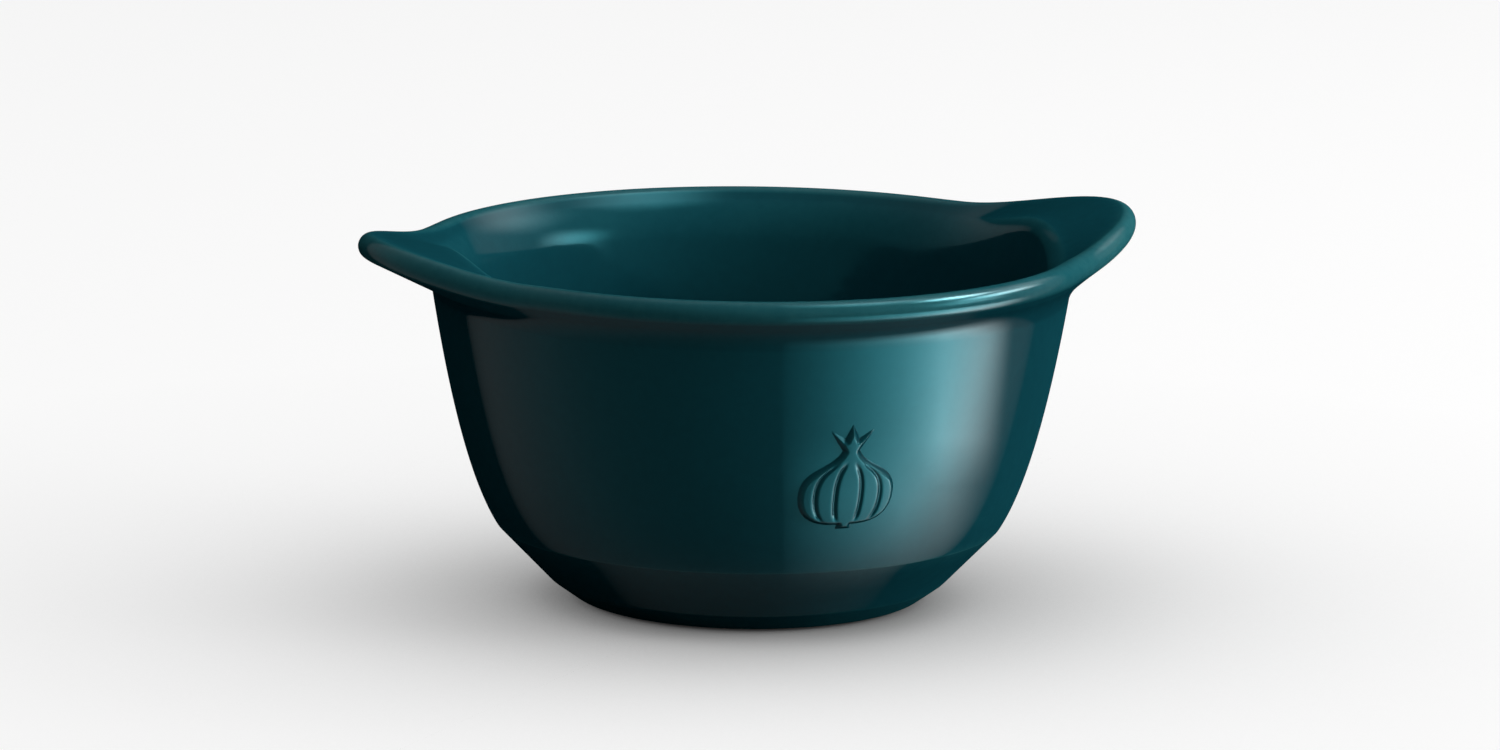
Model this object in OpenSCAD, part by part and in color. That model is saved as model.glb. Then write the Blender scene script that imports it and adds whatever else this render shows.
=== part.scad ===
// Soup crock: a round glazed stoneware bowl with a flared lip, two lug handles
// drawn out of the lip, a bare clay foot ring and a small onion in relief.
// Millimetres, +Z up. The origin lies on the table under the middle of the
// bowl, the handles are on the X axis and the front faces -Y.

/* [Bowl] */
// Diameter over the lip, away from the handles
rim_d = 140; // [128:1:154]
// Height of the lip above the table, away from the handles
rim_h = 74.4; // [66:0.2:82]
// Diameter at the crease round the lower wall
shoulder_d = 104.8; // [96:0.2:112]
// Height of the crease above the base
shoulder_h = 15.4; // [13.8:0.2:17]
// Rounding of the crease
shoulder_round = 3; // [1:0.5:6]
// How far the soft edge below the crease lies inside the crease
chine_inset = 10.9; // [9:0.1:13]
// Height of the soft edge above the base
chine_h = 4.1; // [3.6:0.1:4.6]
// Rounding of the soft edge
chine_round = 6; // [2:0.5:10]
// How far the corner of the flat underside lies inside the soft edge
base_inset = 5.7; // [4.8:0.1:6.8]
// Rounding of that corner
base_round = 4; // [1:0.5:6]
// Thickness of the wall and of the lip
wall_t = 5.2; // [4.4:0.1:6]
// Thickness of the floor inside the foot ring
floor_t = 5; // [4:0.1:6.5]

/* [Lip] */
// Height of the flared lip above the top of the wall
lip_h = 10.8; // [9.6:0.1:12]
// How far the lip stands out beyond the top of the wall
lip_overhang = 4.4; // [3.6:0.1:5.2]

/* [Handles] */
// How far each handle stands out beyond the lip
handle_reach = 13.4; // [10:0.2:16]
// How far each handle's tip rises above the lip
handle_rise = 4.9; // [2:0.1:7]
// Angle of the rim that each handle takes up
handle_sweep = 80; // [72:1:90]
// Angle of the rim over which each handle rises
rise_sweep = 60; // [56:1:70]
// Rounding between the inside of the bowl and the top of a handle
crest_round = 3.5; // [3:0.5:7]

/* [Foot] */
// How far the bare foot ring lies inside the corner of the underside
foot_inset = 2.8; // [2.2:0.1:4]
// Width of the foot ring
foot_w = 6; // [4:0.2:8]
// How far the foot ring stands below the base
foot_h = 0.6; // [0.4:0.1:1.5]
// How far the foot ring reaches up into the base
foot_set = 1.4; // [1:0.1:2]
// Rounding of the foot ring's lower edges
foot_round = 0.5; // [0.2:0.1:0.6]

/* [Sprig] */
// Width of the onion in relief
sprig_w = 20; // [16:0.5:24]
// Height of the onion in relief, with its leaves
sprig_h = 22; // [18:0.5:26]
// Height of the relief above the wall
sprig_relief = 1; // [0.6:0.1:1.6]
// Height of the middle of the onion above the table
sprig_z = 37; // [32:0.5:42]

/* [Hidden] */
glaze_colour = [0.06, 0.27, 0.31];
clay_colour = [0.78, 0.69, 0.57];
$fn = 96;

// Steps along the wall's curve, round a corner, along a lip section and round a handle
wall_steps = 16;
corner_steps = 4;
bend_steps = 6;
flange_steps = 4;
edge_steps = 8;
handle_steps = 40;

// Levels and radii that follow from the sizes above
base_z = foot_h;
foot_top_z = foot_h + foot_set;
floor_z = foot_top_z + floor_t;
rim_r = rim_d / 2;
half_t = wall_t / 2;
neck = [rim_r - lip_overhang, rim_h - lip_h];
shoulder = [shoulder_d / 2, base_z + shoulder_h];
chine = [shoulder.x - chine_inset, base_z + chine_h];
base_corner = [chine.x - base_inset, base_z];
foot_r = base_corner.x - foot_inset;

// The wall curves from the shoulder to the neck: place of its control point between them
wall_bend_shares = [0.56, 0.244];
wall_bend = shoulder + [for (i = [0, 1]) (neck[i] - shoulder[i]) * wall_bend_shares[i]];
wall_lean = atan2(neck.x - wall_bend.x, neck.y - wall_bend.y);
neck_inside = [neck.x - wall_t / cos(wall_lean), neck.y];

// The lip goes on straight for a little, and then bends outwards. At a rim and at the middle of a handle:
// its lead as a share of the lip's height, its bend's radius as a share of the largest that ends at
// the edge, and the slope of its top as a share of the slope underneath
wall_heading = [sin(wall_lean), cos(wall_lean)];
lead_shares = [0.02, 0.075];
bend_shares = [0.95, 0.44];
top_slope_shares = [1, 0.44];

// How sharply a handle narrows to its tip, and how soon its bend tightens
handle_taper = 3;
handle_tighten = 2;

// Half outline of the onion, as shares of its half width and of its height: the root, the curve of the bulb
// to its widest place, the curve from there to the neck, and the leaves
onion_root_shares = [[0, 0], [0.15, 0], [0.13, 0.04]];
onion_belly_shares = [[0.13, 0.04], [0.84, 0.03], [1, 0.19], [1, 0.34]];
onion_crown_shares = [[1, 0.34], [1, 0.6], [0.36, 0.58], [0.17, 0.76]];
onion_leaf_shares = [[0.44, 0.95], [0.14, 0.87], [0, 1]];
// Curved grooves on the onion: outer and inner width of each pair, lower and upper end, and depth
groove_width_shares = [[0.73, 0.63], [0.32, 0.22]];
groove_height_shares = [0.1, 0.6];
groove_depth_share = 0.5;
onion_steps = 10;

function heading(v) = v / norm(v);
function right_of(v) = [v.y, -v.x];
function direction(angle) = [cos(angle), sin(angle)];
function between(ends, share) = (1 - share) * ends[0] + share * ends[1];

// Points of a quadratic and of a cubic curve
function curve(a, b, c, t) = (1 - t) ^ 2 * a + 2 * t * (1 - t) * b + t ^ 2 * c;
function curve_heading(a, b, c, t) = heading((1 - t) * (b - a) + t * (c - b));
function cubic(a, b, c, d, t) = (1 - t) * curve(a, b, c, t) + t * curve(b, c, d, t);

// A corner between two straight lines, rounded to a radius
function rounded(before, corner, after, radius) =
    let (
        a = heading(before - corner),
        b = heading(after - corner),
        half_angle = acos(a * b) / 2,
        tangent = radius / tan(half_angle),
        centre = corner + heading(a + b) * radius / sin(half_angle)
    )
    [
        for (i = [0 : corner_steps])
            let (
                share = i / corner_steps,
                chord = corner + tangent * ((1 - share) * a + share * b)
            )
            centre + radius * heading(chord - centre)
    ];

// A point of the wall's outer curve, moved outwards by an offset
function wall_point(t, offset = 0) =
    curve(shoulder, wall_bend, neck, t)
    + offset * right_of(curve_heading(shoulder, wall_bend, neck, t));

// Outer side of the bowl, from the underside up to the neck
function outer_profile() =
    concat(
        rounded([foot_r, base_z], base_corner, chine, base_round),
        rounded(base_corner, chine, shoulder, chine_round),
        rounded(chine, shoulder, wall_bend, shoulder_round),
        [for (i = [1 : wall_steps]) wall_point(i / wall_steps)]
    );

// Inner side of the bowl, from the neck down to the middle of the floor
function inner_profile() =
    let (
        inner_foot = wall_point(0, -wall_t),
        slope = curve_heading(shoulder, wall_bend, neck, 0),
        run = (inner_foot.y - floor_z) / slope.y,
        corner = inner_foot - run * slope,
        floor_edge = corner - [run, 0]
    )
    concat(
        [neck_inside],
        [for (i = [wall_steps - 1 : -1 : 1]) wall_point(i / wall_steps, -wall_t)],
        [for (i = [wall_steps : -1 : 0]) curve(floor_edge, corner, inner_foot, i / wall_steps)],
        [[0, floor_z]]
    );

// Closed section of the lip, from the outside of the neck over its edge to the inside. The edge moves
// outwards by a reach and upwards by a rise, and the rest by a share from a rim's shape to a handle's:
// a rim's top keeps the wall's thickness, and a handle's lies flatter and ends in a crest inside.
function lip_section(reach, rise, handle_share) =
    let (
        edge = [rim_r - half_t + reach, rim_h - half_t + rise],
        lead = half_t * tan(wall_lean) + lip_h * between(lead_shares, handle_share),
        bend_start = (neck + neck_inside) / 2 + lead * wall_heading,
        chord = edge - bend_start,
        largest_r = chord * chord / (2 * chord * right_of(wall_heading)),
        bend_r = largest_r * between(bend_shares, handle_share),
        bend_centre = bend_start + bend_r * right_of(wall_heading),
        span = edge - bend_centre,
        ramp = atan2(span.y, span.x) - asin(bend_r / norm(span)),
        under = right_of(direction(ramp)),
        bend_end = bend_centre - bend_r * under,
        bend_turn = 90 - wall_lean - ramp,
        top_ramp = ramp * between(top_slope_shares, handle_share),
        top = direction(top_ramp),
        above = -right_of(top),
        top_edge = edge + half_t * above,
        top_run = (top_edge - neck_inside) * right_of(wall_heading) / (top * right_of(wall_heading)),
        edge_turn = 180 - ramp + top_ramp,
        crest_turn = 90 - wall_lean - top_ramp,
        largest_crest_r = top_run / tan(crest_turn / 2),
        crest_r = min(between([bend_r + half_t, crest_round], handle_share), largest_crest_r),
        crest_edge = top_edge - (top_run - crest_r * tan(crest_turn / 2)) * top,
        crest_centre = crest_edge - crest_r * above
    )
    concat(
        [neck],
        [
            for (i = [0 : bend_steps])
                bend_centre + (bend_r - half_t) * direction(180 - wall_lean - bend_turn * i / bend_steps)
        ],
        [
            for (i = [1 : flange_steps])
                between([bend_end, edge], i / flange_steps) + half_t * under
        ],
        [
            for (i = [1 : edge_steps - 1])
                edge + half_t * direction(ramp - 90 + edge_turn * i / edge_steps)
        ],
        [for (i = [0 : flange_steps - 1]) between([top_edge, crest_edge], i / flange_steps)],
        [
            for (i = [0 : bend_steps])
                crest_centre + crest_r * direction(90 + top_ramp + crest_turn * i / bend_steps)
        ],
        [neck_inside]
    );

// Reach, rise and share of the bend of a handle at an angle from its middle
function reach_at(angle) = handle_reach * cos(180 * angle / handle_sweep) ^ handle_taper;
function bend_share_at(angle) = cos(180 * angle / handle_sweep) ^ handle_tighten;
function rise_at(angle) =
    abs(angle) < rise_sweep / 2 ? handle_rise * (1 + cos(360 * angle / rise_sweep)) / 2 : 0;

// A handle about +X: lip sections turned round the bowl and joined into one skin
module handle_loft() {
    angles = [for (i = [0 : handle_steps]) handle_sweep * (i / handle_steps - 1 / 2)];
    sections = [for (a = angles) lip_section(reach_at(a), rise_at(a), bend_share_at(a))];
    count = len(sections[0]);
    points = [
        for (i = [0 : handle_steps])
            for (p = sections[i])
                [p.x * cos(angles[i]), p.x * sin(angles[i]), p.y]
    ];
    sides = [
        for (i = [0 : handle_steps - 1])
            for (j = [0 : count - 1])
                let (next = (j + 1) % count)
                [i * count + j, i * count + next, (i + 1) * count + next, (i + 1) * count + j]
    ];
    first_end = [for (j = [count - 1 : -1 : 0]) j];
    last_end = [for (j = [0 : count - 1]) handle_steps * count + j];
    polyhedron(points, concat(sides, [first_end, last_end]), convexity = 4);
}

// The plain lip between two handles, starting at an angle
module rim_arc(start) {
    rotate([0, 0, start])
        rotate_extrude(angle = 180 - handle_sweep)
            polygon(lip_section(0, 0, 0));
}

// A layer on the outside of the wall, between two offsets
module wall_layer(low, high) {
    rotate_extrude()
        polygon(concat(
            [for (i = [0 : wall_steps]) wall_point(i / wall_steps, high)],
            [for (i = [wall_steps : -1 : 0]) wall_point(i / wall_steps, low)]
        ));
}

// Outline of the onion at a width, its root at the origin
module onion_outline(width) {
    function bulb(shares) = [
        for (i = [1 : onion_steps])
            cubic(shares[0], shares[1], shares[2], shares[3], i / onion_steps)
    ];
    half = concat(onion_root_shares, bulb(onion_belly_shares), bulb(onion_crown_shares), onion_leaf_shares);
    right = [for (p = half) [p.x * width / 2, p.y * sprig_h]];
    polygon(concat(right, [for (i = [len(right) - 2 : -1 : 1]) [-right[i].x, right[i].y]]));
}

module onion_grooves() {
    low = groove_height_shares[0] * sprig_h;
    high = groove_height_shares[1] * sprig_h;
    intersection() {
        for (pair = groove_width_shares)
            difference() {
                onion_outline(sprig_w * pair[0]);
                onion_outline(sprig_w * pair[1]);
            }
        translate([-sprig_w / 2, low])
            square([sprig_w, high - low]);
    }
}

// Runs a flat outline out to the front, at the height of the sprig
module to_front() {
    translate([0, 0, sprig_z - sprig_h / 2])
        rotate([90, 0, 0])
            linear_extrude(height = rim_r)
                children();
}

module bowl_body() {
    color(glaze_colour)
        rotate_extrude()
            polygon(concat(
                [[0, foot_top_z], [foot_r, foot_top_z], [foot_r, base_z]],
                outer_profile(),
                inner_profile()
            ));
}

module foot_ring() {
    foot_inside = foot_r - foot_w;
    color(clay_colour)
        rotate_extrude()
            polygon(concat(
                rounded([foot_inside, foot_top_z], [foot_inside, 0], [foot_r, 0], foot_round),
                rounded([foot_inside, 0], [foot_r, 0], [foot_r, foot_top_z], foot_round),
                [[foot_r, foot_top_z], [foot_inside, foot_top_z]]
            ));
}

module front_rim() {
    color(glaze_colour)
        rim_arc(180 + handle_sweep / 2);
}

module rear_rim() {
    color(glaze_colour)
        rim_arc(handle_sweep / 2);
}

module left_handle() {
    color(glaze_colour)
        rotate([0, 0, 180])
            handle_loft();
}

module right_handle() {
    color(glaze_colour)
        handle_loft();
}

module onion_sprig() {
    groove_floor = sprig_relief * (1 - groove_depth_share);
    color(glaze_colour)
        difference() {
            intersection() {
                wall_layer(0, sprig_relief);
                to_front()
                    onion_outline(sprig_w);
            }
            intersection() {
                wall_layer(groove_floor, sprig_relief * 2);
                to_front()
                    onion_grooves();
            }
        }
}

bowl_body();
foot_ring();
front_rim();
rear_rim();
left_handle();
right_handle();
onion_sprig();
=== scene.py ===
import math
from collections import namedtuple

import bpy
import numpy as np
from mathutils import Matrix, Vector


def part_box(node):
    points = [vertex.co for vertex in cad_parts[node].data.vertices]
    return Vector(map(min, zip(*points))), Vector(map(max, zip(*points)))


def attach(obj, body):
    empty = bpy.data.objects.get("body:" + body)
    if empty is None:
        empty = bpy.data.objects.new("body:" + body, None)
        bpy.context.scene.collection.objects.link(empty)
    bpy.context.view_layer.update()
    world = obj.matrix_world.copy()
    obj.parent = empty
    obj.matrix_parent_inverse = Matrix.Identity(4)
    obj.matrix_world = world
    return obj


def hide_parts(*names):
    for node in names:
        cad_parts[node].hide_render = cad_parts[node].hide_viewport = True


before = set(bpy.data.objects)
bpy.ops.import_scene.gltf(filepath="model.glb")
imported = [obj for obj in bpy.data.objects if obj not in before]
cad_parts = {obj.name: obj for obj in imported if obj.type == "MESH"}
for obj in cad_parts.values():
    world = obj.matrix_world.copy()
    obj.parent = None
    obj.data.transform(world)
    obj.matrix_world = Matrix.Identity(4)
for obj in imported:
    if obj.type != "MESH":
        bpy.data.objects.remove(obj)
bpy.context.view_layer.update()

# A soup crock in deep teal glaze. One formula gives the whole glazed skin, from under the base,
# over the lip and the handles, to the middle of the floor, and each piece is cut out of that skin.
# Where two pieces meet they share points and normals, so the glaze runs on without a seam.

# Sizes in metres, as in the construction; levels are read from the parts in model.glb
MM = 0.001
NECK_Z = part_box("bowl_body")[1].z
RIM_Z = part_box("front_rim")[1].z
FOOT_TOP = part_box("foot_ring")[1].z
FOOT_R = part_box("foot_ring")[1].x
HANDLE_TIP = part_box("right_handle")[1]
SPRIG_LOW, SPRIG_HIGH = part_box("onion_sprig")
RIM_R = 70 * MM
WALL_T = 5.2 * MM
HALF_T = WALL_T / 2
FLOOR_T = 5 * MM
FOOT_W = 6 * MM
BASE_Z = 0.6 * MM
BASE_R = 35.8 * MM
CHINE_R = 41.5 * MM
CHINE_H = 4.1 * MM
SHOULDER_R = 52.4 * MM
SHOULDER_H = 15.4 * MM
LIP_OVERHANG = 4.4 * MM
LIP_H = RIM_Z - NECK_Z
BASE_ROUND = 4 * MM
CHINE_ROUND = 6 * MM
SHOULDER_ROUND = 3 * MM
FOOT_ROUND = 0.5 * MM

# Corners of the bowl's section, as radius and height, and the corner that the curve of its wall leans to
WALL_BEND_SHARES = (0.56, 0.244)
BASE_CORNER = np.array([BASE_R, BASE_Z])
CHINE = np.array([CHINE_R, BASE_Z + CHINE_H])
SHOULDER = np.array([SHOULDER_R, BASE_Z + SHOULDER_H])
NECK = np.array([RIM_R - LIP_OVERHANG, NECK_Z])
WALL_BEND = SHOULDER + (NECK - SHOULDER) * WALL_BEND_SHARES

# The lip's section, each pair for a rim and for the middle of a handle: how far the wall runs on before
# it bends, as a share of the lip's height, the bend's radius as a share of the largest that fits, and
# the slope of the top as a share of the slope underneath
LEAD_SHARES = (0.02, 0.075)
BEND_SHARES = (0.95, 0.44)
TOP_SLOPE_SHARES = (1, 0.44)
CREST_ROUND = 3.5 * MM

# The handles: how far they stand out and up, over how many degrees, and how sharply they narrow and bend
HANDLE_REACH = HANDLE_TIP.x - RIM_R
HANDLE_RISE = HANDLE_TIP.z - RIM_Z
HANDLE_SWEEP = 80
RISE_SWEEP = 60
HANDLE_TAPER = 3
HANDLE_TIGHTEN = 2

# Pieces of the lip: the node that each replaces, the angle of its middle and its sweep, in degrees
RIM_SWEEP = 180 - HANDLE_SWEEP
LIP_PIECES = (
    ("glazed_front_rim", "front_rim", 270, RIM_SWEEP),
    ("glazed_rear_rim", "rear_rim", 90, RIM_SWEEP),
    ("glazed_left_handle", "left_handle", 180, HANDLE_SWEEP),
    ("glazed_right_handle", "right_handle", 0, HANDLE_SWEEP),
)

# How finely the skin is divided, round the axis and along its section, and the shares of a curve that
# are used where a rounded corner takes up its end
COLUMNS = 288
FLAT_STEPS = 8
RECESS_STEPS = 5
BASE_STEPS = 10
CORNER_STEPS = 8
CONE_STEPS = 12
WALL_STEPS = 40
FLOOR_BEND_STEPS = 28
FLOOR_STEPS = 10
BEND_STEPS = 24
SLOPE_STEPS = 14
EDGE_STEPS = 28
OUTER_WALL_SHARES = (0.03, 1)
INNER_WALL_SHARES = (0.98, 0)
FLOOR_BEND_SHARES = (0.97, 0)
TINY = 1e-12

# The onion: its relief, how its edge swells out of the wall, its dome and its grid of points
SPRIG_RELIEF = 1.0 * MM
SPRIG_SINK = 0.12 * MM
SPRIG_BACK = 3 * SPRIG_SINK
SPRIG_MARGIN = 1.2 * MM
SPRIG_SWELL = (-0.45 * MM, 1.0 * MM)
SPRIG_DOME = 0.22
SPRIG_GRID = (141, 151)
OUTLINE_STEPS = 24
GROUND_STEPS = 200
# Its grooves: where they run, as shares of its half width, how wide and deep they are, and the shares of
# its height over which they begin and end
GROOVE_SHARES = (0.68, 0.27)
GROOVE_W = 0.42 * MM
GROOVE_DEPTH = 0.42
GROOVE_BEGIN = (0.06, 0.16)
GROOVE_END = (0.56, 0.68)

# How far a bend tells on the run of the glaze, on the skin and on the onion, and in how many rounds that
# is evened out
RUN_REACH = 4 * MM
RUN_ROUNDS = 6
SPRIG_RUN_REACH = 0.6 * MM
SPRIG_RUN_ROUNDS = 4

# The glaze: its colour from pooled to thin, its clouds and mottling, the orange peel and waves of its
# surface, and its gloss, which fades out between two values of grazing, from 0 face on to 1 edge on
NOISE_RANGE = (0.3, 0.7)
GLAZE_COLOURS = (
    (0.10, (0.0026, 0.034, 0.048)),
    (0.42, (0.0050, 0.062, 0.082)),
    (0.58, (0.0060, 0.074, 0.097)),
    (0.78, (0.0120, 0.105, 0.128)),
    (0.95, (0.0280, 0.150, 0.170)),
)
RUN_DEPTHS = (0.1, 0.9)
CLOUD_SCALE = 24
CLOUD_DEPTHS = (-0.07, 0.07)
MOTTLE_SCALE = 420
MOTTLE_DEPTHS = (-0.035, 0.035)
PEEL_SCALE = 330
PEEL_HEIGHT = 0.010 * MM
WAVE_SCALE = 55
WAVE_HEIGHT = 0.04 * MM
GLAZE_ROUGHNESS = (0.06, 0.11)
ROUGHNESS_SCALE = 90
GLAZE_IOR = 1.5
GLOSS_LEVEL = 0.13
GLOSS_FADE = (0.3, 0.6)
GLOSS_TINT = (0.1, 0.85, 1.0, 1.0)

# The bare clay: its colour, grains and patches
CLAY_COLOURS = (
    (0.30, (0.22, 0.15, 0.10)),
    (0.45, (0.50, 0.38, 0.26)),
    (0.62, (0.62, 0.49, 0.35)),
)
GRAIN_SCALE = 1500
GRAIN_SHARE = 0.7
GRAIN_HEIGHT = 0.06 * MM
PATCH_SCALE = 120
PATCH_SHARE = 0.3
CLAY_ROUGHNESS = (0.75, 0.95)

# The camera, read off the photograph: turned to the left of the front, a little above, with a long lens
CAMERA_TURN = math.radians(-19.3)
CAMERA_ELEVATION = 11.49
CAMERA_ROLL = math.radians(0.63)
CAMERA_DISTANCE = 1.6
CAMERA_LENS = 185.4
SENSOR_WIDTH = 36
SIGHT = Vector((0, 0, 36.6 * MM))
FRAME_CENTRE = Vector((0, 0, 46.4 * MM))
FRONT = math.radians(-90)

# The studio: how much light the floor and the room give, how bright the floor looks besides that, and
# how far round the crock a painted shade darkens that glow
WHITE = (1, 1, 1, 1)
FLOOR_REACH = 12.0
FLOOR_COLOUR = (0.2, 0.2, 0.2, 1)
FLOOR_GLOW = 0.84
PAINTED_SHADE_REACH = 200 * MM
ROOM_LIGHT = 0.08

# The softboxes: degrees to the right of the camera and above the horizon, distance, size and radiance
KEY_SOFTBOX = (122, 38, 1.2, (1.3, 0.7), 6)
KEY_CORE = (100, 50, 1.2, (0.8, 0.45), 85)
LIP_SOFTBOX = (98, 30, 1.2, (1.1, 0.5), 50)
TOP_SOFTBOX = (95, 70, 1.2, (1.2, 0.8), 12)
FILL_SOFTBOX = (0, 88, 1.6, (2.0, 2.0), 2.0)
SIDE_SOFTBOX = (78, 16, 1.2, (0.9, 0.7), 18)

# The two cards that the wall mirrors: their turn from the camera, reach, soft back edge and radiance
CARD_TURN = 100
CARD_REACH = 300 * MM
CARD_EDGE = (2 * MM, 68 * MM)
CARD_RADIANCE = 25
# Their heights, the radii between which each begins and ends, and how bright each is along its arc
FAR_HEIGHT = 1 * MM
NEAR_HEIGHT = 2 * MM
NEAR_START = (45 * MM, 90 * MM)
CARD_CROSSING = (95 * MM, 125 * MM)
FAR_END = (190 * MM, CARD_REACH)
FAR_FADE = (
    (0.0, 0.02), (0.13, 0.12), (0.25, 0.26), (0.42, 0.53), (0.6, 0.95), (0.8, 0.74), (0.95, 0.66),
)
NEAR_FADE = (
    (0.0, 0.03), (0.13, 0.22), (0.25, 0.37), (0.42, 0.54), (0.62, 0.48), (0.8, 0.22), (0.95, 0.1),
)

# Points, normals and glaze run by column and row, and the outer and inner row at the neck
Skin = namedtuple("Skin", "points normals runs necks")


def unit(v):
    return v / np.linalg.norm(v, axis=-1, keepdims=True)


def right_of(v):
    return np.stack([v[..., 1], -v[..., 0]], -1)


def direction(angle):
    return np.stack([np.cos(angle), np.sin(angle)], -1)


def between(ends, share):
    return (1 - share) * ends[0] + share * ends[1]


def smooth_step(value, low, high):
    share = np.clip((value - low) / (high - low), 0, 1)
    return share * share * (3 - 2 * share)


def curve(a, b, c, t):
    """A quadratic curve from a to c that leans to b."""
    t = np.asarray(t)[:, None]
    return (1 - t) ** 2 * a + 2 * t * (1 - t) * b + t**2 * c


def curve_heading(a, b, c, t):
    t = np.asarray(t)[:, None]
    return unit((1 - t) * (b - a) + t * (c - b))


def cubic(points, t):
    a, b, c, d = np.array(points)
    t = t[:, None]
    return (1 - t) ** 3 * a + 3 * t * (1 - t) ** 2 * b + 3 * t**2 * (1 - t) * c + t**3 * d


def rounded(before, corner, after, radius, steps):
    """Points round a corner between two straight lines, at a radius."""
    a = unit(before - corner)
    b = unit(after - corner)
    half_angle = math.acos(a @ b) / 2
    centre = corner + unit(a + b) * radius / math.sin(half_angle)
    share = np.linspace(0, 1, steps)[:, None]
    chord = corner + radius / math.tan(half_angle) * ((1 - share) * a + share * b)
    return centre + radius * unit(chord - centre)


def arcs(centre, radius, first, last, steps):
    """An arc for each column, from a first to a last angle."""
    turn = between((first, last), np.linspace(0, 1, steps)[:, None]).T
    return centre[:, None] + np.reshape(radius, (-1, 1, 1)) * direction(turn)


def lines(first, last, steps):
    """The points inside a straight line for each column, without its ends."""
    return between((first, last), np.linspace(0, 1, steps)[1:-1, None, None]).transpose(1, 0, 2)


def outer_section():
    """Outer side of the bowl, from the middle of the underside to the neck."""
    middle = np.array([0, FOOT_TOP])
    recess = np.array([FOOT_R, FOOT_TOP])
    foot_line = np.array([FOOT_R, BASE_Z])
    return np.vstack([
        np.linspace(middle, [FOOT_R - MM, FOOT_TOP], FLAT_STEPS),
        rounded(middle, recess, foot_line, FOOT_ROUND, RECESS_STEPS),
        rounded(recess, foot_line, BASE_CORNER, FOOT_ROUND, RECESS_STEPS),
        rounded(foot_line, BASE_CORNER, CHINE, BASE_ROUND, BASE_STEPS),
        rounded(BASE_CORNER, CHINE, SHOULDER, CHINE_ROUND, CORNER_STEPS),
        np.linspace(CHINE, SHOULDER, CONE_STEPS)[2:-2],
        rounded(CHINE, SHOULDER, WALL_BEND, SHOULDER_ROUND, CORNER_STEPS),
        curve(SHOULDER, WALL_BEND, NECK, np.linspace(*OUTER_WALL_SHARES, WALL_STEPS)),
    ])


def inner_section(neck_inside):
    """Inner side of the bowl, from the neck to the middle of the floor."""
    floor_z = FOOT_TOP + FLOOR_T
    t = np.linspace(*INNER_WALL_SHARES, WALL_STEPS)
    heading = curve_heading(SHOULDER, WALL_BEND, NECK, t)
    wall = curve(SHOULDER, WALL_BEND, NECK, t) - WALL_T * right_of(heading)
    run = (wall[-1, 1] - floor_z) / heading[-1, 1]
    corner = wall[-1] - run * heading[-1]
    floor_edge = corner - [run, 0]
    return np.vstack([
        [neck_inside],
        wall,
        curve(floor_edge, corner, wall[-1], np.linspace(*FLOOR_BEND_SHARES, FLOOR_BEND_STEPS)),
        np.linspace(floor_edge, [0, floor_z], FLOOR_STEPS)[1:],
    ])


def handle_shares(angles):
    """How far out and up a handle is at each angle, and how far its bend is a handle's, from 0 to 1."""
    from_middle = np.abs((np.degrees(angles) + 90) % 180 - 90)
    turn = np.radians(np.minimum(180 * from_middle / HANDLE_SWEEP, 90))
    reach = np.cos(turn) ** HANDLE_TAPER
    bend = np.cos(turn) ** HANDLE_TIGHTEN
    rise = (1 + np.cos(np.radians(np.minimum(360 * from_middle / RISE_SWEEP, 180)))) / 2
    return reach, rise, bend


def lip_bend(edge, neck_inside, lean, share):
    """The bend in the middle of the lip: its centre and radius, and the slope from there to the edge."""
    heading = np.array([math.sin(lean), math.cos(lean)])
    outward = right_of(heading)
    lead = HALF_T * math.tan(lean) + LIP_H * between(LEAD_SHARES, share)
    start = (NECK + neck_inside) / 2 + lead[:, None] * heading
    chord = edge - start
    largest = (chord**2).sum(1) / (2 * chord @ outward)
    radius = largest * between(BEND_SHARES, share)
    centre = start + radius[:, None] * outward
    span = edge - centre
    ramp = np.arctan2(span[:, 1], span[:, 0]) - np.arcsin(radius / np.linalg.norm(span, axis=1))
    return centre, radius, ramp


def lip_crest(top_edge, ramp, neck_inside, lean, largest):
    """The crest where the top of the lip turns down inside: its upper end, centre and radius."""
    outward = np.array([math.cos(lean), -math.sin(lean)])
    top = direction(ramp)
    run = (top_edge - neck_inside) @ outward / (top @ outward)
    tangent = np.tan((math.pi / 2 - lean - ramp) / 2)
    radius = np.minimum(largest, run / tangent)
    end = top_edge - (run - radius * tangent)[:, None] * top
    return end, end + radius[:, None] * right_of(top), radius


def lip_section(angles, neck_inside, lean):
    """The lip at each angle: underneath a bend and a slope, then a round edge, a top and a crest inside.

    On a rim the top keeps the wall's thickness. On a handle it lies flatter, and the crest is tighter.
    """
    reach, rise, share = handle_shares(angles)
    edge = np.stack([RIM_R - HALF_T + HANDLE_REACH * reach, RIM_Z - HALF_T + HANDLE_RISE * rise], -1)
    bend_centre, bend_r, ramp = lip_bend(edge, neck_inside, lean, share)
    under = right_of(direction(ramp))
    bend_end = bend_centre - bend_r[:, None] * under
    top_ramp = ramp * between(TOP_SLOPE_SHARES, share)
    top_edge = edge - HALF_T * right_of(direction(top_ramp))
    largest = between((bend_r + HALF_T, CREST_ROUND), share)
    crest_end, crest_centre, crest_r = lip_crest(top_edge, top_ramp, neck_inside, lean, largest)
    upright = np.full_like(ramp, math.pi - lean)
    quarter = math.pi / 2
    return np.concatenate([
        arcs(bend_centre, bend_r - HALF_T, upright, ramp + quarter, BEND_STEPS),
        lines(bend_end + HALF_T * under, edge + HALF_T * under, SLOPE_STEPS),
        arcs(edge, HALF_T, ramp - quarter, top_ramp + quarter, EDGE_STEPS),
        lines(top_edge, crest_end, SLOPE_STEPS),
        arcs(crest_centre, crest_r, top_ramp + quarter, upright, BEND_STEPS),
    ], 1)


def turned(section, angles):
    """Points round the axis, by column and row, from a section for each angle."""
    return np.concatenate([section[..., :1] * direction(angles)[:, None], section[..., 1:]], -1)


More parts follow.
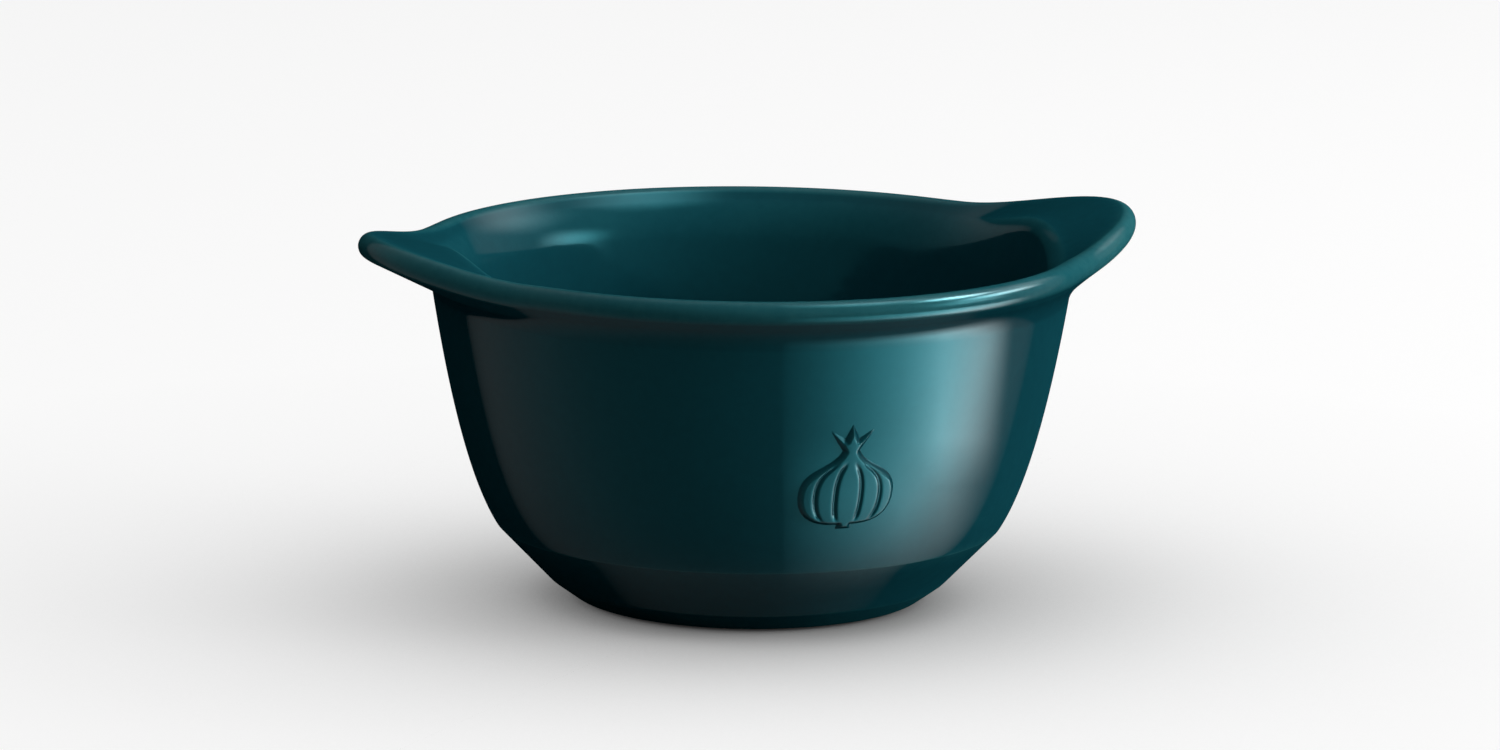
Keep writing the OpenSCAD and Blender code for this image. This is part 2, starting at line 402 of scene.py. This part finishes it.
def tangents(points):
    """Directions along the rows, true to second order where the steps are uneven."""
    step = np.diff(points, axis=1)
    length = np.linalg.norm(step, axis=2, keepdims=True) + TINY
    step = step / length
    middle = step[:, :-1] * length[:, 1:] + step[:, 1:] * length[:, :-1]
    return unit(np.concatenate([step[:, :1], middle, step[:, -1:]], 1))


def glaze_run(section):
    """How the glaze ran before it set: up to 1 where it thinned over an edge, -1 where it pooled."""
    step = np.diff(section, axis=1)
    length = np.linalg.norm(step, axis=2) + TINY
    cross = step[:, :-1, 0] * step[:, 1:, 1] - step[:, :-1, 1] * step[:, 1:, 0]
    bend = np.arcsin(np.clip(cross / (length[:, :-1] * length[:, 1:]), -1, 1))
    curvature = 2 * bend / (length[:, :-1] + length[:, 1:])
    run = np.pad(np.tanh(curvature * RUN_REACH), ((0, 0), (1, 1)))
    for _ in range(RUN_ROUNDS):
        run[:, 1:-1] = (run[:, :-2] + 2 * run[:, 1:-1] + run[:, 2:]) / 4
    return run


def glazed_skin():
    """The whole skin of the crock, apart from the onion and the bare ring."""
    angles = np.linspace(0, 2 * math.pi, COLUMNS, endpoint=False)
    lean = math.atan2(NECK[0] - WALL_BEND[0], NECK[1] - WALL_BEND[1])
    neck_inside = NECK - [WALL_T / math.cos(lean), 0]
    outer = outer_section()
    inner = inner_section(neck_inside)
    lip = lip_section(angles, neck_inside, lean)
    section = np.concatenate([
        np.repeat(outer[None], COLUMNS, 0),
        lip,
        np.repeat(inner[None], COLUMNS, 0),
    ], 1)
    points = turned(section, angles)
    around = np.roll(points, -1, 0) - np.roll(points, 1, 0)
    normals = np.cross(around, tangents(points))
    normals[:, 0] = (0, 0, -1)
    normals[:, -1] = (0, 0, 1)
    necks = (len(outer) - 1, len(outer) + lip.shape[1])
    return Skin(points, unit(normals), glaze_run(section), necks)


class Piece:
    """Collects faces with a normal at each corner and makes a Blender mesh of them."""

    def __init__(self):
        self.points = []
        self.runs = []
        self.faces = []
        self.corner_normals = []

    def add_points(self, points, runs):
        """Adds a grid of points with their glaze runs, and returns the grid of their numbers."""
        first = len(self.points)
        self.points.extend(map(tuple, points.reshape(-1, 3)))
        self.runs.extend(runs.ravel())
        return np.arange(first, len(self.points)).reshape(runs.shape)

    def add_face(self, corners, normals):
        kept = [i for i in range(len(corners)) if corners[i] != corners[i - 1]]
        if len(kept) > 2:
            self.faces.append([int(corners[i]) for i in kept])
            self.corner_normals.extend(tuple(normals[i]) for i in kept)

    def add_grid(self, index, normals):
        """Four-cornered faces over a grid of points, in columns and rows."""
        for c in range(index.shape[0] - 1):
            for r in range(index.shape[1] - 1):
                corners = ((c, r), (c + 1, r), (c + 1, r + 1), (c, r + 1))
                self.add_face([index[k] for k in corners], [normals[k] for k in corners])

    def add_strip(self, one_side, other_side, facing):
        """A strip of faces between two rows of points, all facing one way."""
        strip = np.stack([one_side, other_side], 1)
        self.add_grid(strip, np.tile(np.array(facing, float), strip.shape + (1,)))

    def make(self, name, node, material):
        """Makes the mesh, which rides on the crock and stands for a node of the construction."""
        mesh = bpy.data.meshes.new(name)
        mesh.from_pydata(self.points, [], self.faces)
        mesh.polygons.foreach_set("use_smooth", [True] * len(self.faces))
        mesh.attributes.new("glaze_run", "FLOAT", "POINT").data.foreach_set("value", self.runs)
        mesh.normals_split_custom_set(self.corner_normals)
        mesh.materials.append(material)
        piece = bpy.data.objects.new(name, mesh)
        bpy.context.scene.collection.objects.link(piece)
        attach(piece, "root")
        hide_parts(node)


def skin_grid(piece, skin, columns, rows):
    """Adds the skin between two rows over some columns, and returns the numbers of its points."""
    block = np.ix_(columns % COLUMNS, np.arange(rows[0], rows[1] + 1))
    index = piece.add_points(skin.points[block], skin.runs[block])
    if columns[-1] - columns[0] == COLUMNS:
        index[-1] = index[0]
    for row, place in ((0, 0), (skin.points.shape[1] - 1, -1)):
        if row in rows:
            index[:, place] = index[0, place]
    piece.add_grid(index, skin.normals[block])
    return index


def body_piece(skin, material):
    """Floor, lower cone, crease and wall, with the flat seat of the lip on top."""
    piece = Piece()
    outside_neck, inside_neck = skin.necks
    columns = np.arange(COLUMNS + 1)
    outside = skin_grid(piece, skin, columns, (0, outside_neck))
    inside = skin_grid(piece, skin, columns, (inside_neck, skin.points.shape[1] - 1))
    piece.add_strip(outside[:, -1], inside[:, 0], (0, 0, 1))
    piece.make("glazed_bowl", "bowl_body", material)


def rim_piece(skin, material, name, node, middle, sweep):
    """A stretch of the lip about an angle, with flat ends and a flat seat."""
    piece = Piece()
    first, last = (round((middle + side * sweep / 2) / 360 * COLUMNS) for side in (-1, 1))
    columns = np.arange(first, last + 1)
    index = skin_grid(piece, skin, columns, skin.necks)
    piece.add_strip(index[:, -1], index[:, 0], (0, 0, -1))
    for corners, column, side in ((index[0], first, -1), (index[-1][::-1], last, 1)):
        angle = 2 * math.pi * column / COLUMNS
        facing = (-side * math.sin(angle), side * math.cos(angle), 0)
        piece.add_face(list(corners), [facing] * len(corners))
    piece.make(name, node, material)


def foot_piece(material):
    """The bare ring, with softened lower edges."""
    inside = FOOT_R - FOOT_W
    corners = np.array([(inside, FOOT_TOP), (inside, 0), (FOOT_R, 0), (FOOT_R, FOOT_TOP)])
    section = np.vstack([
        corners[:1],
        rounded(*corners[:3], FOOT_ROUND, CORNER_STEPS),
        np.linspace(corners[1], corners[2], FLAT_STEPS)[2:-2],
        rounded(*corners[1:], FOOT_ROUND, CORNER_STEPS),
        corners[3:],
        corners[:1],
    ])
    angles = np.linspace(0, 2 * math.pi, COLUMNS + 1)
    points = turned(np.repeat(section[None], len(angles), 0), angles)
    normals = np.cross(np.gradient(points, axis=0), tangents(points))
    piece = Piece()
    index = piece.add_points(points[:-1, :-1], np.zeros((COLUMNS, len(section) - 1)))
    piece.add_grid(np.pad(index, ((0, 1), (0, 1)), "wrap"), unit(normals))
    piece.make("bare_foot_ring", "foot_ring", material)


def onion_outline():
    """Right half of the onion, as shares of its half width and height: root, bulb, crown and leaves."""
    t = np.linspace(0, 1, OUTLINE_STEPS)
    return np.vstack([
        [(0, 0), (0.15, 0)],
        cubic(((0.13, 0.04), (0.84, 0.03), (1, 0.19), (1, 0.34)), t),
        cubic(((1, 0.34), (1, 0.6), (0.36, 0.58), (0.17, 0.76)), t)[1:],
        [(0.44, 0.95), (0.14, 0.87), (0, 1)],
    ])


def depth_inside(outline, x, y):
    """How far each point lies inside a closed outline, less than zero outside it."""
    spot = np.stack([x, y], -1)[..., None, :]
    a = outline
    b = np.roll(outline, -1, 0)
    side = b - a
    share = np.clip(((spot - a) * side).sum(-1) / (side**2).sum(-1), 0, 1)
    gap = np.linalg.norm(spot - a - share[..., None] * side, axis=-1).min(-1)
    spans = (a[:, 1] > y[..., None]) != (b[:, 1] > y[..., None])
    rise = np.where(side[:, 1] == 0, 1, side[:, 1])
    crossing = a[:, 0] + (y[..., None] - a[:, 1]) / rise * side[:, 0]
    inside = (spans & (x[..., None] < crossing)).sum(-1) % 2 == 1
    return np.where(inside, gap, -gap)


def onion_lift(x, y, width, height):
    """Height of the relief over the wall: a softly rounded bulb with two pairs of curved grooves."""
    half = onion_outline() * [width / 2, height]
    outline = np.vstack([half, (half * [-1, 1])[-2:0:-1]])
    swell = smooth_step(depth_inside(outline, x, y), *SPRIG_SWELL)
    bulb = half[1:-3]
    reach = np.interp(y, bulb[:, 1], bulb[:, 0])
    dome = 1 - SPRIG_DOME + SPRIG_DOME * np.sqrt(np.clip(1 - (x / reach) ** 2, 0, 1))
    grooves = np.zeros_like(x)
    for share in GROOVE_SHARES:
        grooves += np.exp(-(((np.abs(x) - share * reach) / GROOVE_W) ** 2))
    grooves *= smooth_step(y / height, *GROOVE_BEGIN) * (1 - smooth_step(y / height, *GROOVE_END))
    return SPRIG_RELIEF * (swell * dome - GROOVE_DEPTH * grooves * swell) - SPRIG_SINK * (1 - swell)


def onion_runs(lift, across, up):
    """How the glaze ran over the relief before it set."""
    bow = sum(
        np.gradient(np.gradient(lift, line, axis=k), line, axis=k) for k, line in enumerate((across, up))
    )
    runs = np.clip(-bow * SPRIG_RUN_REACH, -1, 1)
    for _ in range(SPRIG_RUN_ROUNDS):
        beside = runs[:-2, 1:-1] + runs[2:, 1:-1]
        runs[1:-1, 1:-1] = (beside + runs[1:-1, :-2] + runs[1:-1, 2:]) / 4
    return runs


def front_of_wall(x, z):
    """Points on the front of the wall, and the directions that face out of it there."""
    wall = curve(SHOULDER, WALL_BEND, NECK, np.linspace(0, 1, GROUND_STEPS))
    radius = np.interp(z, wall[:, 1], wall[:, 0])
    slope = np.interp(z, wall[:, 1], np.gradient(wall[:, 0], wall[:, 1]))
    points = np.stack([x, -np.sqrt(radius**2 - x**2), z], -1)
    return points, unit(np.stack([points[..., 0] / radius, points[..., 1] / radius, -slope], -1))


def sprig_piece(material):
    """The onion in low relief, softened by the glaze, on the front of the wall."""
    width = SPRIG_HIGH.x - SPRIG_LOW.x
    height = SPRIG_HIGH.z - SPRIG_LOW.z
    across = np.linspace(-width / 2 - SPRIG_MARGIN, width / 2 + SPRIG_MARGIN, SPRIG_GRID[0])
    up = np.linspace(-SPRIG_MARGIN, height + SPRIG_MARGIN, SPRIG_GRID[1])
    x, y = np.meshgrid(across, up, indexing="ij")
    lift = onion_lift(x, y, width, height)
    ground, out = front_of_wall(x, SPRIG_LOW.z + y)
    points = ground + lift[..., None] * out
    normals = unit(np.cross(np.gradient(points, axis=0), np.gradient(points, axis=1)))
    piece = Piece()
    front = piece.add_points(points, onion_runs(lift, across, up))
    back = piece.add_points(ground - SPRIG_BACK * out, np.zeros_like(x))
    piece.add_grid(front, normals)
    piece.add_grid(back[::-1], -out[::-1])
    piece.add_strip(back[:, 0], front[:, 0], (0, 0, -1))
    piece.add_strip(back[-1], front[-1], (1, 0, 0))
    piece.add_strip(back[::-1, -1], front[::-1, -1], (0, 0, 1))
    piece.add_strip(back[0, ::-1], front[0, ::-1], (-1, 0, 0))
    piece.make("glazed_onion", "onion_sprig", material)


class Shader:
    """A node tree, built up link by link: a new material's, or one that is given."""

    def __init__(self, name="", tree=None):
        if not tree:
            self.material = bpy.data.materials.new(name)
            self.material.use_nodes = True
            tree = self.material.node_tree
        self.nodes = tree.nodes
        self.links = tree.links

    def fill(self, socket, value):
        """Links a socket to another one, or sets it to a value."""
        if isinstance(value, bpy.types.NodeSocket):
            self.links.new(value, socket)
        else:
            socket.default_value = value

    def node(self, kind, inputs=None, **settings):
        made = self.nodes.new(kind)
        for key, value in settings.items():
            setattr(made, key, value)
        for key, value in (inputs or {}).items():
            self.fill(made.inputs[key], value)
        return made

    def set(self, **inputs):
        """Fills sockets of the material's surface, by their names with _ for a space."""
        for key, value in inputs.items():
            self.fill(self.nodes["Principled BSDF"].inputs[key.replace("_", " ")], value)

    def noise(self, scale, detail, roughness=0.5):
        place = self.node("ShaderNodeTexCoord").outputs["Object"]
        inputs = {"Vector": place, "Scale": scale, "Detail": detail, "Roughness": roughness}
        return self.node("ShaderNodeTexNoise", inputs).outputs["Fac"]

    def math(self, operation, a, b):
        return self.node("ShaderNodeMath", {0: a, 1: b}, operation=operation).outputs[0]

    def span(self, value, low, high, to_low, to_high, kind="LINEAR"):
        inputs = {"Value": value, "From Min": low, "From Max": high, "To Min": to_low, "To Max": to_high}
        return self.node("ShaderNodeMapRange", inputs, interpolation_type=kind).outputs["Result"]

    def ramp(self, value, stops):
        made = self.node("ShaderNodeValToRGB", {"Fac": value})
        elements = made.color_ramp.elements
        while len(elements) < len(stops):
            elements.new(0.5)
        for element, (place, colour) in zip(elements, stops):
            element.position = place
            element.color = (*colour, 1)
        return made.outputs["Color"]

    def bump(self, height, distance, normal=None):
        inputs = {"Height": height, "Distance": distance, "Strength": 1.0}
        if normal:
            inputs["Normal"] = normal
        return self.node("ShaderNodeBump", inputs).outputs["Normal"]

    def seen_directly(self):
        """1 for what the camera sees, also in gloss and through glass, and 0 for light that bounces."""
        path = self.node("ShaderNodeLightPath").outputs
        seen = self.math("ADD", path["Is Camera Ray"], path["Is Glossy Ray"])
        return self.math("ADD", seen, path["Is Transmission Ray"])


def teal_glaze():
    """Deep teal gloss glaze: darker where it pooled, lighter over edges, with a faint orange peel.

    Its gloss ends at grazing angles, so the crock's outlines stay dark.
    """
    s = Shader("teal_glaze")
    run = s.node("ShaderNodeAttribute", attribute_name="glaze_run").outputs["Fac"]
    cloud = s.span(s.noise(CLOUD_SCALE, 2), *NOISE_RANGE, *CLOUD_DEPTHS)
    mottle = s.span(s.noise(MOTTLE_SCALE, 4, 0.6), *NOISE_RANGE, *MOTTLE_DEPTHS)
    depth = s.span(run, -1.0, 1.0, *RUN_DEPTHS)
    depth = s.math("ADD", s.math("ADD", depth, cloud), mottle)
    colour = s.ramp(depth, GLAZE_COLOURS)
    peel = s.bump(s.noise(PEEL_SCALE, 2), PEEL_HEIGHT)
    grazing = s.node("ShaderNodeLayerWeight", {"Blend": 0.5}).outputs["Facing"]
    s.set(
        Base_Color=colour,
        Roughness=s.span(s.noise(ROUGHNESS_SCALE, 3), *NOISE_RANGE, *GLAZE_ROUGHNESS),
        Normal=s.bump(s.noise(WAVE_SCALE, 2), WAVE_HEIGHT, peel),
        IOR=GLAZE_IOR,
        Specular_IOR_Level=s.span(grazing, *GLOSS_FADE, GLOSS_LEVEL, 0.0),
        Specular_Tint=GLOSS_TINT,
    )
    return s.material


def bare_clay():
    """Unglazed fired clay: buff, matt, gritty, with darker grains."""
    s = Shader("bare_clay")
    grain = s.noise(GRAIN_SCALE, 5, 0.7)
    patch = s.noise(PATCH_SCALE, 3)
    grains = s.math("MULTIPLY", grain, GRAIN_SHARE)
    patches = s.math("MULTIPLY", patch, PATCH_SHARE)
    s.set(
        Base_Color=s.ramp(s.math("ADD", grains, patches), CLAY_COLOURS),
        Roughness=s.span(grain, *NOISE_RANGE, *CLAY_ROUGHNESS),
        Normal=s.bump(grain, GRAIN_HEIGHT),
    )
    return s.material


def round_from_camera(azimuth, elevation, distance):
    """A place about the crock, by degrees to the right of the camera and above the horizon."""
    turn = FRONT + CAMERA_TURN + math.radians(azimuth)
    rise = math.radians(elevation)
    flat = math.cos(rise) * distance
    return SIGHT + Vector((math.cos(turn) * flat, math.sin(turn) * flat, math.sin(rise) * distance))


def add_lamp(name, size, radiance):
    """A rectangular lamp with the radiance of its face. The camera never sees it."""
    data = bpy.data.lights.new(name, "AREA")
    data.shape = "RECTANGLE"
    data.size, data.size_y = size
    data.energy = radiance * math.pi * size[0] * size[1]
    lamp = bpy.data.objects.new(name, data)
    lamp.visible_camera = False
    bpy.context.scene.collection.objects.link(lamp)
    return lamp


def face_places(lamp):
    """The lamp's nodes, and where a point lies on its face: two outputs, each from 0 to 1."""
    lamp.data.use_nodes = True
    s = Shader(tree=lamp.data.node_tree)
    place = s.node("ShaderNodeNewGeometry").outputs["Parametric"]
    return s, s.node("ShaderNodeSeparateXYZ", {0: place}).outputs


def soft_light(name, azimuth, elevation, distance, size, radiance):
    """A softbox aimed at the crock, brightest in the middle and fading to its edges."""
    lamp = add_lamp(name, size, radiance)
    place = round_from_camera(azimuth, elevation, distance)
    aim = (place - SIGHT).to_track_quat("Z", "Y").to_matrix()
    lamp.matrix_world = Matrix.Translation(place) @ aim.to_4x4()
    s, face = face_places(lamp)
    from_edges = [s.math("PINGPONG", face[axis], 0.5) for axis in "XY"]
    levels = [s.span(share, 0.0, 0.5, 0.0, 1.0, "SMOOTHSTEP") for share in from_edges]
    s.links.new(s.math("MULTIPLY", *levels), s.nodes["Emission"].inputs["Strength"])
    return lamp


def only_in_gloss(lamp, pieces=()):
    """Lets a lamp show only in gloss, on some pieces or on all."""
    lamp.visible_diffuse = False
    if pieces:
        lamp.light_linking.receiver_collection = bpy.data.collections.new(lamp.name)
    for piece in pieces:
        lamp.light_linking.receiver_collection.objects.link(piece)


def card_placing(width, height):
    """The placing of a card that lies beside the crock and shines up."""
    turn = FRONT + CAMERA_TURN + math.radians(CARD_TURN)
    out = Vector((math.cos(turn), math.sin(turn), 0))
    up = Vector((0, 0, 1))
    across = out.cross(up)
    middle = out * CARD_REACH / 2 + across * (CARD_EDGE[0] + width / 2) + up * height
    return Matrix.Translation(middle) @ Matrix((out, across, -up)).transposed().to_4x4()


def low_card(name, fade, starts, ends, height, pieces=()):
    """A reflector lying beside the crock, that shows only in gloss, on some pieces or on all.

    It fades along its arc, between two radii at its start and at its end, and to its back edge.
    """
    width = CARD_REACH - CARD_EDGE[0]
    lamp = add_lamp(name, (CARD_REACH, width), CARD_RADIANCE)
    lamp.matrix_world = card_placing(width, height)
    only_in_gloss(lamp, pieces)
    s, face = face_places(lamp)
    out = s.span(face["X"], 0.0, 1.0, 0.0, CARD_REACH)
    across = s.span(face["Y"], 0.0, 1.0, CARD_EDGE[0], CARD_REACH)
    arc = s.span(s.math("ARCTAN2", out, across), 0.0, math.pi / 2, 0.0, 1.0)
    level = s.ramp(arc, [(share, (level,) * 3) for share, level in fade])
    squares = [s.math("MULTIPLY", side, side) for side in (out, across)]
    radius = s.math("SQRT", s.math("ADD", *squares), 0.0)
    level = s.math("MULTIPLY", level, s.span(across, *CARD_EDGE, 0.0, 1.0, "SMOOTHSTEP"))
    level = s.math("MULTIPLY", level, s.span(radius, *starts, 0.0, 1.0))
    level = s.math("MULTIPLY", level, s.span(radius, *ends, 1.0, 0.0))
    s.links.new(level, s.nodes["Emission"].inputs["Strength"])


def lights():
    """Softboxes for the whole crock or for its gloss alone, and the cards that its wall mirrors."""
    lip = [bpy.data.objects[name] for name in ("glazed_front_rim", "glazed_right_handle")]
    walls = [bpy.data.objects[name] for name in ("glazed_bowl", "glazed_onion")]
    soft_light("key_softbox", *KEY_SOFTBOX)
    only_in_gloss(soft_light("key_core", *KEY_CORE), lip)
    only_in_gloss(soft_light("lip_softbox", *LIP_SOFTBOX), lip)
    only_in_gloss(soft_light("top_softbox", *TOP_SOFTBOX))
    soft_light("fill_softbox", *FILL_SOFTBOX).visible_glossy = False
    soft_light("side_softbox", *SIDE_SOFTBOX)
    low_card("far_card", FAR_FADE, CARD_CROSSING, FAR_END, FAR_HEIGHT)
    low_card("near_card", NEAR_FADE, NEAR_START, CARD_CROSSING, NEAR_HEIGHT, walls)


def white_room():
    """A world that lights the crock a little and looks white to the camera and in gloss."""
    world = bpy.data.worlds.new("white_room")
    world.use_nodes = True
    s = Shader(tree=world.node_tree)
    background = s.nodes["Background"].inputs
    background["Color"].default_value = WHITE
    s.links.new(s.span(s.seen_directly(), 0.0, 1.0, ROOM_LIGHT, 1.0), background["Strength"])
    bpy.context.scene.world = world


def pale_floor():
    """A plain floor that bounces a little light and looks white to the camera and in gloss. Its glow
    carries a painted contact shadow: ambient occlusion darkens it near the crock.
    """
    mesh = bpy.data.meshes.new("floor")
    sides = ((-1, -1), (1, -1), (1, 1), (-1, 1))
    mesh.from_pydata([(x * FLOOR_REACH, y * FLOOR_REACH, 0) for x, y in sides], [], [(0, 1, 2, 3)])
    s = Shader("pale_floor")
    # Painted contact shadow: ambient occlusion, not the lamps, darkens the floor's glow near the crock
    painted_contact_shade = s.node("ShaderNodeAmbientOcclusion", {"Distance": PAINTED_SHADE_REACH}).outputs["AO"]
    glow = s.span(s.math("MULTIPLY", s.seen_directly(), painted_contact_shade), 0.0, 1.0, 0.0, FLOOR_GLOW)
    s.set(
        Base_Color=FLOOR_COLOUR,
        Roughness=1.0,
        Specular_IOR_Level=0.0,
        Emission_Color=WHITE,
        Emission_Strength=glow,
    )
    mesh.materials.append(s.material)
    floor = bpy.data.objects.new("floor", mesh)
    bpy.context.scene.collection.objects.link(floor)


def camera():
    """The photograph's camera, with its slight roll."""
    data = bpy.data.cameras.new("camera")
    data.sensor_width = SENSOR_WIDTH
    data.sensor_fit = "HORIZONTAL"
    data.lens = CAMERA_LENS
    view = bpy.data.objects.new("camera", data)
    place = round_from_camera(0, CAMERA_ELEVATION, CAMERA_DISTANCE)
    look = (place - FRAME_CENTRE).to_track_quat("Z", "Y").to_matrix()
    look = look @ Matrix.Rotation(CAMERA_ROLL, 3, "Z")
    view.matrix_world = Matrix.Translation(place) @ look.to_4x4()
    bpy.context.scene.collection.objects.link(view)
    bpy.context.scene.camera = view


def crock():
    """The seven pieces: the bowl, the four stretches of its lip, the onion and the bare ring."""
    skin = glazed_skin()
    glaze = teal_glaze()
    body_piece(skin, glaze)
    for name, node, middle, sweep in LIP_PIECES:
        rim_piece(skin, glaze, name, node, middle, sweep)
    sprig_piece(glaze)
    foot_piece(bare_clay())


crock()
pale_floor()
lights()
white_room()
camera()
bpy.context.scene.view_settings.view_transform = "Standard"
